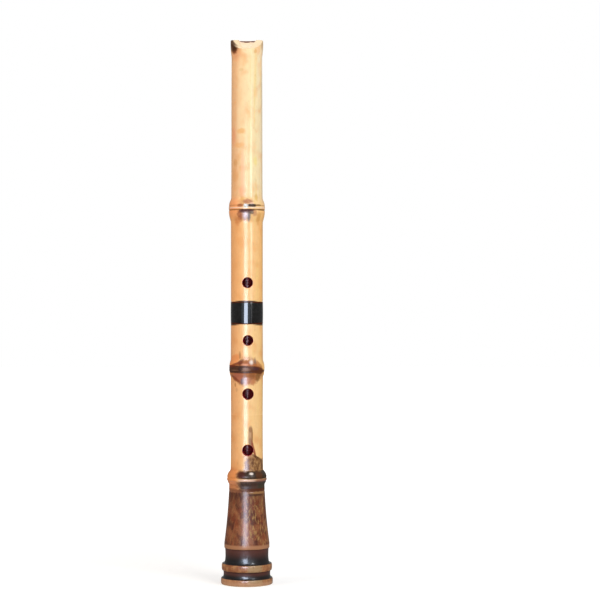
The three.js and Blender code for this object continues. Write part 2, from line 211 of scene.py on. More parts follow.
def turned(name, outline, *materials, steps=160):
    """A closed outline of radius and height in mm, turned about the flute's axis."""
    return made(name, spun([(r * MM, z * MM) for r, z in outline], steps, merge=1e-7), *materials)


def drill(hole):
    """A tool for one hole, flared where it meets the skin so that the edge comes out rounded."""
    outside, inside = -3, 14
    height, right, radius, facing = hole
    edge = [(radius + wider, depth) for wider, depth in HOLE_EDGE]
    outline = [(0, outside), (edge[0][0], outside), *edge, (radius, inside), (0, inside)]
    bm = spun(outline, steps=72, merge=1e-5, closed=False)
    for v in bm.verts:
        x, up, depth = v.co.x + right, v.co.y + height, v.co.z
        skin_y = math.sqrt(max(0, culm_radius(up) ** 2 - x * x))
        v.co = Vector((x, facing * (skin_y - depth), up)) * MM
    return made("drill", bm, red_lacquer)


def carved(piece, *tools, operation="DIFFERENCE"):
    """The piece after each tool has cut it; the tools are used up."""
    for tool in tools:
        cut = piece.modifiers.new("cut", "BOOLEAN")
        cut.object, cut.operation, cut.solver = tool, operation, "EXACT"
        cut.material_mode = "TRANSFER"
    shaped = piece.evaluated_get(bpy.context.evaluated_depsgraph_get())
    mesh = bpy.data.meshes.new_from_object(shaped)
    piece.modifiers.clear()
    piece.data = mesh
    for tool in tools:
        bpy.data.objects.remove(tool)
    return piece


def scarred(piece, degrees, low, high, radius, slope):
    """Raises a flat scar on the skin where a bud has been, of the given radius at its foot."""
    half_width, soft, margin, inner = 9, 1, 2, 15
    for v in piece.data.vertices:
        r, height = v.co.xy.length / MM, v.co.z / MM
        if r > inner and low - margin < height < high + margin:
            across = (math.degrees(math.atan2(v.co.x, -v.co.y)) - degrees) / half_width
            along = (2 * height - low - high) / (high - low + soft)
            share = math.exp(-(across ** 4) - along ** 6)
            v.co.xy *= (r + max(0, radius + slope * (height - low) - r) * share) / r


def faces_axis(face):
    """Whether a face looks towards the flute's axis, as the bore's faces do."""
    return face.normal.x * face.center.x + face.normal.y * face.center.y < 0


def finished(piece, body, node_name):
    """Crisp edges only where the surface turns sharply, then the piece is put in the frame."""
    sharp = math.radians(30)
    piece.data.shade_smooth()
    piece.data.set_sharp_from_angle(angle=sharp)
    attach(piece, body)
    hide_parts(node_name)


def paint(code):
    """A colour written as six hex digits, as light."""
    parts = [int(code[i:i + 2], 16) / 255 for i in (0, 2, 4)]
    return tuple(c / 12.92 if c <= 0.04045 else ((c + 0.055) / 1.055) ** 2.4 for c in parts) + (1,)


def fill(tree, socket, value):
    """Feeds a socket from a node's output, a value or a colour's six hex digits."""
    if isinstance(value, bpy.types.NodeSocket):
        tree.links.new(value, socket)
    else:
        socket.default_value = paint(value) if isinstance(value, str) else value


def feed(tree, inputs, **values):
    """Feeds inputs by name; underscores stand for spaces."""
    for label, value in values.items():
        fill(tree, inputs[label.replace("_", " ")], value)


def node(tree, kind, *inputs, **settings):
    """Adds a node, sets it, and feeds its inputs in order."""
    made_node = tree.nodes.new(kind)
    for key, value in settings.items():
        setattr(made_node, key, value)
    for socket, value in zip(made_node.inputs, inputs):
        fill(tree, socket, value)
    return made_node


def maths(tree, operation, *inputs):
    return node(tree, "ShaderNodeMath", *inputs, operation=operation).outputs[0]


def product(tree, first, *others):
    for other in others:
        first = maths(tree, "MULTIPLY", first, other)
    return first


def blend(tree, share, first, second, way="MIX"):
    """Mixes two colours by a share; a Mix node's colours are its inputs 6 and 7 and its output 2."""
    mix = node(tree, "ShaderNodeMix", data_type="RGBA", blend_type=way)
    for number, value in ((0, share), (6, first), (7, second)):
        fill(tree, mix.inputs[number], value)
    return mix.outputs[2]


def remap(tree, value, low, high, to_low=0.0, to_high=1.0, smooth=True):
    """Moves a value from one range to another, and holds it at the ends."""
    way = "SMOOTHSTEP" if smooth else "LINEAR"
    return node(tree, "ShaderNodeMapRange", value, low, high, to_low, to_high,
                interpolation_type=way).outputs[0]


def between(tree, value, low, high, soft):
    """A mask that is 1 from low to high and falls to 0 over soft on either side."""
    return product(tree, remap(tree, value, low - soft, low), remap(tree, value, high, high + soft, 1, 0))


def dulled(tree, mask, least):
    """A gloss that is full outside a mask and falls to the least inside it."""
    return remap(tree, mask, 0, 1, 1, least)


def vectors(tree, operation, *inputs):
    return node(tree, "ShaderNodeVectorMath", *inputs, operation=operation).outputs


def scaled(tree, place, *shares):
    """A place multiplied by shares for X, Y and Z: a pattern runs long where its share is small."""
    return vectors(tree, "MULTIPLY", place, shares)[0]


def length(tree, place):
    return vectors(tree, "LENGTH", place)["Value"]


def grey(tree, light):
    """A colour of equal parts."""
    return node(tree, "ShaderNodeCombineXYZ", light, light, light).outputs[0]


def noise(tree, place, scale, detail=2.0, rough=0.5, distortion=0.0):
    """Noise from 0 to 1, in bumps of about one over the scale."""
    found = node(tree, "ShaderNodeTexNoise")
    feed(tree, found.inputs, Vector=place, Scale=scale, Detail=detail, Roughness=rough,
         Distortion=distortion)
    return found.outputs["Fac"]


def from_dots(tree, place, scale):
    """How far a place lies from the nearest of many scattered dots."""
    found = node(tree, "ShaderNodeTexVoronoi", feature="F1")
    feed(tree, found.inputs, Vector=place, Scale=scale)
    return found.outputs["Distance"]


def group(name, inputs, outputs):
    """An empty node group with its sockets: its tree, inputs and outputs."""
    tree = bpy.data.node_groups.new(name, "ShaderNodeTree")
    for way, sockets in (("INPUT", inputs), ("OUTPUT", outputs)):
        for label, kind in sockets.items():
            tree.interface.new_socket(label, in_out=way, socket_type=kind)
    return tree, tree.nodes.new("NodeGroupInput").outputs, tree.nodes.new("NodeGroupOutput").inputs


def use(tree, name, **values):
    """Places a node group and feeds its inputs by name."""
    placed = tree.nodes.new("ShaderNodeGroup")
    placed.node_tree = bpy.data.node_groups[name]
    feed(tree, placed.inputs, **values)
    return placed.outputs


# Chart of the culm: degrees round from the front and mm up, how far to the side (-1 to 1, the same in
# front as behind), and the place in mm for the grain
FLOAT, VECTOR, COLOR = "NodeSocketFloat", "NodeSocketVector", "NodeSocketColor"
tree, _, out = group("culm chart", {}, {
    "Chart": VECTOR, "Degrees": FLOAT, "Side": FLOAT, "Height": FLOAT, "Place": VECTOR})
place = scaled(tree, node(tree, "ShaderNodeTexCoord").outputs["Object"], 1 / MM, 1 / MM, 1 / MM)
parts = node(tree, "ShaderNodeSeparateXYZ", place).outputs
turn = maths(tree, "ARCTAN2", parts["X"], product(tree, parts["Y"], -1))
degrees = maths(tree, "DEGREES", turn)
chart = node(tree, "ShaderNodeCombineXYZ", degrees, parts["Z"]).outputs[0]
feed(tree, out, Chart=chart, Degrees=degrees, Side=maths(tree, "SINE", turn), Height=parts["Z"], Place=place)

# A stain or a patch of painted light: a soft patch with a ragged edge, placed in degrees and mm, that may
# lean as it goes round
tree, given, out = group("stain", {
    "Chart": VECTOR, "Place": VECTOR, "Centre": VECTOR, "Half Size": VECTOR, "Lean": FLOAT,
    "Strength": FLOAT, "Ragged": FLOAT, "Soft": FLOAT, "Squareness": FLOAT}, {"Mask": FLOAT})
away = vectors(tree, "SUBTRACT", given["Chart"], given["Centre"])[0]
parts = node(tree, "ShaderNodeSeparateXYZ", away).outputs
up = maths(tree, "SUBTRACT", parts["Y"], product(tree, parts["X"], given["Lean"]))
away = node(tree, "ShaderNodeCombineXYZ", parts["X"], up).outputs[0]
away = vectors(tree, "DIVIDE", away, given["Half Size"])[0]
parts = node(tree, "ShaderNodeSeparateXYZ", away).outputs
power = given["Squareness"]
wide, tall = (maths(tree, "POWER", maths(tree, "ABSOLUTE", parts[axis]), power) for axis in "XY")
away = maths(tree, "POWER", maths(tree, "ADD", wide, tall), maths(tree, "DIVIDE", 1, power))
rag = noise(tree, given["Place"], 0.35, 5, 0.62)
lost = product(tree, remap(tree, rag, 0.3, 0.6, 0.7, 0), given["Ragged"])
shift = product(tree, maths(tree, "SUBTRACT", rag, 0.5), product(tree, given["Ragged"], 4))
inside = maths(tree, "SUBTRACT", 1, product(tree, given["Soft"], 0.6))
outside = maths(tree, "ADD", 1, product(tree, given["Soft"], 0.4))
mask = remap(tree, maths(tree, "ADD", away, shift), inside, outside, 1, 0)
feed(tree, out, Mask=product(tree, mask, maths(tree, "SUBTRACT", 1, lost), given["Strength"]))

# Bamboo skin: fine fibres that run up the culm, soft clouds under the lacquer and a few dark flecks
tree, given, out = group("bamboo skin", {
    "Place": VECTOR, "Ground": COLOR, "Cloud": COLOR, "Fleck": COLOR}, {
    "Color": COLOR, "Relief": FLOAT, "Dull": FLOAT})
fibre = noise(tree, scaled(tree, given["Place"], 1, 1, 0.045), 2.2, 3, 0.6)
patches = scaled(tree, given["Place"], 1, 1, 0.8)
cloud = remap(tree, noise(tree, patches, 0.1, 3, 0.5), 0.46, 0.74)
color = blend(tree, product(tree, cloud, 0.5), given["Ground"], given["Cloud"])
shade = remap(tree, fibre, 0.25, 0.75, 0.94, 1.05, smooth=False)
uneven = remap(tree, noise(tree, patches, 0.4, 3, 0.6), 0.3, 0.7, 0.96, 1.04, smooth=False)
color = blend(tree, 1.0, color, grey(tree, product(tree, shade, uneven)), "MULTIPLY")
drawn_out = scaled(tree, given["Place"], 1, 1, 0.4)
dots = remap(tree, from_dots(tree, drawn_out, 0.34), 0.02, 0.3, 1, 0)
rare = remap(tree, noise(tree, given["Place"], 0.21, 2), 0.5, 0.62)
color = blend(tree, product(tree, dots, rare, 0.3), color, given["Fleck"])
relief = maths(tree, "ADD", product(tree, fibre, 0.12), noise(tree, drawn_out, 0.32, 2))
feed(tree, out, Color=color, Relief=relief, Dull=noise(tree, given["Place"], 0.4, 3))


def lacquered(name, look, roughness, relief_depth, coat=1.0, coat_roughness=0.08, coat_ior=1.6,
              specular=0.1):
    """A gloss material with its relief in mm; look gives colour, dullness, relief and perhaps gloss."""
    smoother, duller = 0.06, 0.1
    material = bpy.data.materials.new(name)
    material.use_nodes = True
    tree = material.node_tree
    color, dull, relief, *gloss = look(tree)
    rough = remap(tree, dull, 0.3, 0.7, roughness - smoother, roughness + duller)
    bump = node(tree, "ShaderNodeBump")
    feed(tree, bump.inputs, Distance=relief_depth * MM, Strength=1, Height=relief)
    normal = bump.outputs[0]
    shader = tree.nodes["Principled BSDF"].inputs
    feed(tree, shader, Base_Color=color, Roughness=rough, Specular_IOR_Level=specular, Coat_Weight=coat,
         Coat_Roughness=coat_roughness, Coat_IOR=coat_ior, Normal=normal, Coat_Normal=normal)
    for share in gloss:
        feed(tree, shader, Coat_Weight=product(tree, share, coat))
    return material


def stain(tree, chart, centre, half, lean, strength, ragged, soft, squareness=2):
    """The mask of one stain or patch of painted light."""
    return use(tree, "stain", Chart=chart["Chart"], Place=chart["Place"], Centre=(*centre, 0),
               Half_Size=(*half, 1), Lean=lean, Strength=strength, Ragged=ragged, Soft=soft,
               Squareness=squareness)["Mask"]


def stained(tree, color, chart, stains_and_painted_light):
    """Lays stains and patches of painted light over a colour."""
    for centre, half, lean, code, *edge in stains_and_painted_light:
        color = blend(tree, stain(tree, chart, centre, half, lean, *edge), color, code)
    return color


# Stains and patches of painted light: degrees and mm of the centre, half size, lean, colour, strength,
# raggedness, softness, and perhaps squareness
# Round the lower node: orange to the left, rust-brown above and below the dark ring, with a point
# downwards; and the dark line at the foot of the band. Some patches are painted light, marked below.
LOWER_NODE_STAINS_AND_PAINTED_LIGHT = (
    ((6, 222), (34, 5.5), 0, "b87c4c", 0.85, 0.3, 0.8),
    ((-2, 216.8), (64, 6.2), 0, "a4602f", 0.95, 0.16, 0.35, 2.6),
    ((-54, 224.2), (31, 5), 0.1, "f09a58", 0.92, 0.1, 0.5, 2.6),
    ((8, 220.6), (7, 2.4), 0, "8a5a44", 0.8, 0.35, 0.8),
    ((-24, 228.8), (4.6, 4.2), 0, "a8703a", 0.7, 0.35, 0.9),
    # Painted shade beside the bud scar
    ((31, 222.8), (5, 3), 0, "8a7264", 0.8, 0.25, 0.9),
    ((43, 220.4), (9, 2.6), 0, "c88850", 0.8, 0.3, 0.8),
    ((0, 210.5), (74, 12.6), 0, "b0683c", 0.95, 0.16, 0.4, 1.35),
    ((-30, 208), (22, 4.4), 0, "b4644a", 0.8, 0.3, 0.8),
    ((20, 208.5), (12, 5), 0, "96581e", 0.7, 0.3, 0.8),
    ((23, 202.2), (10, 3), 0, "c88048", 0.8, 0.3, 0.8),
    ((44, 208), (12, 5.5), 0.1, "8a5a1e", 0.85, 0.3, 0.7),
    ((-43, 205.3), (27, 1.9), -0.165, "843a14", 0.9, 0.3, 0.7),
    ((-16, 203), (6, 3.2), 0, "6e6070", 0.85, 0.2, 0.8),
    ((-44, 199.6), (4, 2.4), 0, "b87c3a", 0.8, 0.2, 0.9),
    ((-38, 194.6), (5, 2.2), 0, "cf9a68", 0.6, 0.2, 0.9),
    # Painted reflection: a pale pink band over the dark ring
    ((-6, 219.8), (14, 1), 0, "e0a080", 0.8, 0.2, 0.8),
    ((0, 213.2), (400, 1.2), 0, "6a4024", 0.9, 0.1, 0.6),
    ((-44, 215), (90, 3.9), -0.008, "4c2e20", 0.98, 0.05, 0.25, 3),
    ((-62, 217.9), (26, 1), 0, "6e2c1a", 0.85, 0.2, 0.8),
    ((37, 214.2), (33, 3.6), -0.045, "5c2e16", 0.95, 0.1, 0.35, 2.4),
    ((32, 215.4), (12, 1.6), 0, "4a2832", 0.7, 0.2, 0.8),
    # Painted reflection in the middle of the dark ring
    ((-4, 214.6), (16, 2.2), 0, "96705c", 0.8, 0.25, 0.8),
    ((-21, 215.4), (9, 2), 0, "3a2018", 0.85, 0.2, 0.7),
    ((-46, 214), (20, 0.5), 0, "8a6650", 0.7, 0.2, 0.8),
    ((-21, 222), (10, 2.8), 0.1, "64280c", 0.9, 0.3, 0.8),
    ((-45, 219.8), (30, 1.1), 0.085, "7c3418", 0.8, 0.25, 0.8, 3),
    ((-62, 259.3), (34, 0.9), 0, "3a200c", 0.9, 0.1, 0.8),
    ((62, 259.3), (34, 0.9), 0, "3a200c", 0.9, 0.1, 0.8),
    # Painted highlights: the shine on the bud scar, and a lilac shine under the ring
    ((17, 222), (7, 2.6), 0, "e4d2c6", 0.9, 0.1, 1),
    ((-6, 204), (8, 5.4), 0, "c8c4d4", 0.5, 0.1, 1),
)
FOOT_STAINS_AND_PAINTED_LIGHT = (
    # Streak above the lowest hole, which runs on past it into the stained foot of the stalk
    ((15, 148.5), (8.5, 9.8), 0, "c09468", 0.95, 0.08, 0.35, 3),
    ((15, 155), (7, 3), 0, "9c6a38", 0.8, 0.1, 0.8),
    ((20.6, 146.5), (2.6, 8.6), 0, "94602c", 0.85, 0.08, 0.6, 3),
    ((13, 143), (7, 4.4), 0, "94664a", 0.7, 0.1, 0.9),
    ((-4, 128), (9, 2.2), 0, "a47468", 0.5, 0.2, 0.9),
    ((21, 140.5), (5, 2), 0, "94442a", 0.8, 0.1, 0.8),
    ((27, 134.5), (10, 4.4), -0.84, "9c4a2c", 0.95, 0.1, 0.5, 3),
    ((18, 127), (16, 4), 0, "a87850", 0.9, 0.2, 0.5, 3),
    ((32, 120), (40, 7), -0.02, "8a5a30", 0.98, 0.14, 0.4, 4),
    # Painted sheen: the lilac-grey of the shine on the stained foot
    ((4, 119), (8, 7), 0, "9a8690", 0.7, 0.3, 0.9),
    ((44, 126.4), (22, 1.7), -0.16, "5e3410", 0.95, 0.2, 0.6, 3),
    ((70, 119), (9, 6.4), 0, "5a3416", 0.85, 0.2, 0.6, 3),
    # Round the root node: orange to the left, nearly black lacquer to the right, and a ridge between that is
    # painted pale in front as a painted highlight
    ((-62, 108.5), (35, 9), 0, "e28e4e", 0.92, 0.12, 0.5, 3),
    ((-60, 101.6), (37, 2.6), 0, "e09468", 0.9, 0.2, 0.6, 3),
    ((-60, 97.8), (42, 3), 0, "c07a4e", 0.92, 0.2, 0.5, 3),
    ((-58, 94.2), (40, 2.2), 0, "96603f", 0.9, 0.3, 0.6, 3),
    ((84, 110), (114, 4.3), 0, "2a1b14", 0.98, 0.05, 0.25, 5),
    ((-150, 110), (54, 4.3), 0, "2a1b14", 0.98, 0.05, 0.25, 5),
    ((-150, 99.6), (52, 4.9), 0, "3e2e32", 0.98, 0.06, 0.25, 5),
    ((-17, 110.2), (14, 4.4), 0, "4c1a0e", 0.95, 0.16, 0.9, 3),
    ((42, 109.5), (13, 4), 0, "5a3214", 0.85, 0.2, 0.6, 3),
    ((84, 99.6), (117, 4.9), 0, "3e2e32", 0.98, 0.06, 0.25, 5),
    ((26, 99), (12, 3.6), 0, "50362c", 0.8, 0.2, 0.7, 3),
    ((60, 99), (22, 3.6), 0, "40392a", 0.85, 0.2, 0.6, 3),
    ((84, 95), (100, 1.4), 0, "5c2c12", 0.95, 0.1, 0.4, 5),
    ((30, 90.2), (32, 1.3), 0, "4a2a18", 0.8, 0.15, 0.7, 4),
    ((46, 92.2), (35, 1.1), 0, "a07446", 0.9, 0.15, 0.5, 4),
    # Painted highlight: the ridge pale in front, where it catches the light
    ((3, 104.6), (28, 1.2), 0, "e0b8a4", 0.97, 0.03, 0.4, 4),
    ((85, 104.6), (62, 1.2), 0, "94604c", 0.95, 0.03, 0.4, 6),
)
# Painted highlights laid over the speckled foot of the stalk: a pale lilac patch where the shine runs on
# down, and the shine on the bud scar
FOOT_PAINTED_HIGHLIGHTS = (
    ((-4, 114.8), (8, 2.4), 0, "b49c96", 0.75, 0.2, 1),
    ((15.5, 111.4), (7, 1.3), 0, "e8dcd4", 0.92, 0.05, 1),
)


def skin_ground_and_painted_shade(tree, chart, left, right, edge):
    """Colour of the bare skin, with painted shade: deeper on the left, and again at the far right."""
    color = blend(tree, remap(tree, chart["Side"], -0.82, 0.26, 1, 0), right, left)
    color = blend(tree, remap(tree, chart["Side"], 0.6, 0.92), color, edge)
    lines = noise(tree, scaled(tree, chart["Place"], 1, 1, 0.03), 0.5, 2)
    yellow = product(tree, remap(tree, lines, 0.5, 0.64, 0, 0.4), remap(tree, chart["Side"], -0.15, 0.5))
    return blend(tree, yellow, color, "f6d27c")


def bare_skin(tree, chart):
    ground = skin_ground_and_painted_shade(tree, chart, "f6b87c", "fbcf8f", "fac884")
    return use(tree, "bamboo skin", Place=chart["Place"], Ground=ground, Cloud="e89c58", Fleck="b98450")


def lower_node_look(tree):
    rubbed = (211, 219.5)
    chart = use(tree, "culm chart")
    looks = bare_skin(tree, chart)
    color = stained(tree, looks["Color"], chart, LOWER_NODE_STAINS_AND_PAINTED_LIGHT)
    gloss = dulled(tree, between(tree, chart["Height"], *rubbed, 2), 0.15)
    return color, looks["Dull"], looks["Relief"], gloss


def foot_look(tree):
    # Heights of the root's darker top, its edge and its lip, and of the lacquer that is rubbed off
    dark_top, root_edge, lip_face = (72, 92), (95.3, 97.3), (30, 39.2)
    under_node, on_ridge = (95.5, 102), (105.8, 109)
    chart = use(tree, "culm chart")
    looks = bare_skin(tree, chart)
    # Root: red-brown under dark lacquer, mottled, with golden patches to the right and darker at the top
    streaky = scaled(tree, chart["Place"], 1, 1, 0.55)
    coarse = remap(tree, noise(tree, streaky, 0.13, 4, 0.55, 0.5), 0.38, 0.62)
    root = blend(tree, coarse, "602e1c", "985c38")
    red = remap(tree, noise(tree, streaky, 0.21, 3, 0.5, 0.3), 0.5, 0.64, 0, 0.7)
    root = blend(tree, red, root, "8c4420")
    right = remap(tree, chart["Side"], -0.34, 0.28, 0.3, 0.95)
    gold = remap(tree, noise(tree, scaled(tree, chart["Place"], 1, 1, 0.28), 0.55, 4, 0.66), 0.5, 0.64)
    root = blend(tree, product(tree, gold, right), root, "b48a50")
    fine = remap(tree, noise(tree, chart["Place"], 0.8, 3, 0.7), 0.3, 0.7, 0.68, 1.14, smooth=False)
    root = blend(tree, 1.0, root, grey(tree, fine), "MULTIPLY")
    root = blend(tree, remap(tree, chart["Height"], *dark_top, 0, 0.4), root, "4a2818")
    # Painted highlight: the lip is paler where it catches the light
    lip = between(tree, chart["Height"], *lip_face, 2)
    root = blend(tree, lip, root, "b07a54")
    uneven = remap(tree, noise(tree, chart["Place"], 0.3, 3), 0.2, 0.8, -1, 1)
    is_root = remap(tree, maths(tree, "ADD", chart["Height"], uneven), *root_edge, 1, 0)
    color = stained(tree, blend(tree, is_root, looks["Color"], root), chart, FOOT_STAINS_AND_PAINTED_LIGHT)
    # Speckled lacquer over the foot of the stalk
    speckled = stain(tree, chart, (37, 120), (33, 6.4), 0, 0.9, 0.35, 0.8, 3)
    specks = remap(tree, noise(tree, streaky, 0.36, 4, 0.7), 0.36, 0.64)
    color = blend(tree, speckled, color, blend(tree, specks, "643a18", "c2925a"))
    color = stained(tree, color, chart, FOOT_PAINTED_HIGHLIGHTS)
    # The lacquer is rubbed off under the node and on its ridge, thinner on the root and full on the lip
    rubbed = dulled(tree, between(tree, chart["Height"], *under_node, 1.2), 0.15)
    gloss = maths(tree, "SUBTRACT", rubbed, product(tree, is_root, 0.15))
    gloss = maths(tree, "ADD", gloss, product(tree, lip, 0.4))
    ridge = dulled(tree, between(tree, chart["Height"], *on_ridge, 0.8), 0.3)
    return color, looks["Dull"], looks["Relief"], product(tree, gloss, ridge)


def ring_look(tree):
    """Root end: two worn orange-brown rings, and gloss grooves that darken from red-brown to black."""
    chart = use(tree, "culm chart")
    mottle = noise(tree, chart["Place"], 0.22, 5, 0.65)
    color = blend(tree, remap(tree, mottle, 0.38, 0.62), "95582f", "b98250")
    color = blend(tree, between(tree, chart["Degrees"], 8, 34, 8), color, "b29066")
    dark = remap(tree, noise(tree, chart["Place"], 0.5, 3, 0.7), 0.52, 0.7, 0, 0.7)
    color = blend(tree, dark, color, "7c4a28")
    left = remap(tree, chart["Side"], -0.9, 0, 0.6, 0)
    pale = product(tree, left, remap(tree, chart["Height"], 7, 9, 1, 0))
    color = blend(tree, pale, color, "c8946c")
    # Painted light: the base ring is paler towards its foot, so that its lower face does not darken where it
    # turns from the lamps
    color = blend(tree, remap(tree, chart["Height"], 2, 5.5, 0.7, 0), color, "cc9c78")
    gloss, overlap, black_share = 0, 0.2, 0.2
    brown_under, red_under, all_red_under = 1, 1.6, 0.8
    for low, high in ((MIDDLE_RING[2], GROOVE_LACQUER_TOP), (BASE_RING[2], MIDDLE_RING[1])):
        inside = between(tree, chart["Height"], low - overlap, high, 0.5)
        brown = remap(tree, chart["Height"], low + black_share * (high - low), high - brown_under)
        groove = blend(tree, brown, "16100e", "5a2c20")
        red = remap(tree, chart["Height"], high - red_under, high - all_red_under)
        groove = blend(tree, red, groove, "4c1c10")
        color = blend(tree, inside, color, groove)
        gloss = maths(tree, "ADD", gloss, inside)
    return color, mottle, mottle, maths(tree, "MAXIMUM", product(tree, gloss, 0.8), 0.9)


def red_lacquer_look(tree):
    """Red, and darker at a hole's rim and near the mouth."""
    rim_radii, mouth_heights = (14.2, 15.4), (505, 525)
    chart = use(tree, "culm chart")
    mottle = noise(tree, chart["Place"], 0.5, 3)
    color = blend(tree, remap(tree, mottle, 0.3, 0.7), "c8303a", "d84452")
    outward = length(tree, scaled(tree, chart["Place"], 1, 1, 0))
    color = blend(tree, remap(tree, outward, *rim_radii), color, "8a1f28")
    color = blend(tree, remap(tree, chart["Height"], *mouth_heights), color, "6e2a26")
    return color, mottle, noise(tree, chart["Place"], 0.8, 2)


def cut_bamboo_look(tree):
    """End grain: dark fibre bundles in pale wood, some grime, and a brown stain at the facet's left."""
    stain_degrees, stain_radii, stain_heights = (-100, -84), (13.6, 15), (530, 532)
    chart = use(tree, "culm chart")
    bundles = remap(tree, from_dots(tree, chart["Place"], 1.1), 0.12, 0.32, 1, 0)
    color = blend(tree, product(tree, bundles, 0.35), "fbe4c0", "e2b680")
    grime = remap(tree, noise(tree, chart["Place"], 0.25, 4), 0.5, 0.75)
    color = blend(tree, product(tree, grime, 0.35), color, "e8b884")
    outward = length(tree, scaled(tree, chart["Place"], 1, 1, 0))
    left = remap(tree, chart["Side"], -0.85, -0.45, 0.95, 0)
    browned = product(tree, left, remap(tree, chart["Degrees"], *stain_degrees),
                      remap(tree, outward, *stain_radii), remap(tree, chart["Height"], *stain_heights))
    return blend(tree, browned, color, "503018"), grime, bundles


red_lacquer = lacquered("red lacquer", red_lacquer_look, 0.5, 0.01, coat=0.34, coat_roughness=0.2)
cut_bamboo = lacquered("cut bamboo", cut_bamboo_look, 0.45, 0.03, coat=0.4, coat_roughness=0.2,
                       specular=0.34)
node_skin = lacquered("lower node skin", lower_node_look, 0.4, 0.05, coat=0.8, coat_roughness=0.29,
                      specular=0.2)
foot_skin = lacquered("foot skin", foot_look, 0.4, 0.05, coat=0.8, coat_roughness=0.25, specular=0.18)
worn_rings = lacquered("worn rings", ring_look, 0.4, 0.1, coat=0.7, coat_roughness=0.12, specular=0.5)

lower_culm = turned("lower_culm_bamboo", [
    (ROOT_BORE + LINING_SEAT, 0), *rounded(*BASE_RING),
    *cove(BASE_RING[2] + GROOVE_GAP, MIDDLE_RING[1] - GROOVE_GAP, *LOWER_GROOVE), *rounded(*MIDDLE_RING),
    *cove(MIDDLE_RING[2] + GROOVE_GAP, GROOVE_TOP, *UPPER_GROOVE), *corner(*LIP_EDGE, -70, 0),
    (LIP[0], (LIP_EDGE[1] + LIP[1]) / 2), *skin(LIP[1], LOWER_BAND_FOOT),
    (culm_radius(LOWER_BAND_FOOT), LOWER_BAND_FOOT), (SEAT_RADIUS, LOWER_BAND_FOOT),
    (SEAT_RADIUS, LOWER_FACE), (SOCKET_WALL, LOWER_FACE), (SOCKET_WALL, SOCKET_FLOOR),
    (bore_radius(SOCKET_FLOOR) + LINING_SEAT, SOCKET_FLOOR), (THROAT[0] + LINING_SEAT, THROAT[1]),
], node_skin, cut_bamboo, red_lacquer, worn_rings, foot_skin)
for face in lower_culm.data.polygons:
    height = face.center.z / MM
    if height < SOLE_TOP or faces_axis(face):
        face.material_index = CUT
    elif height < RINGS_TOP:
        face.material_index = RINGS
    elif height < FOOT_TOP:
        face.material_index = FOOT
for scar in LOWER_SCARS:
    scarred(lower_culm, *scar)
carved(lower_culm, *map(drill, LOWER_HOLES))
finished(lower_culm, "lower_half", "lower_culm")

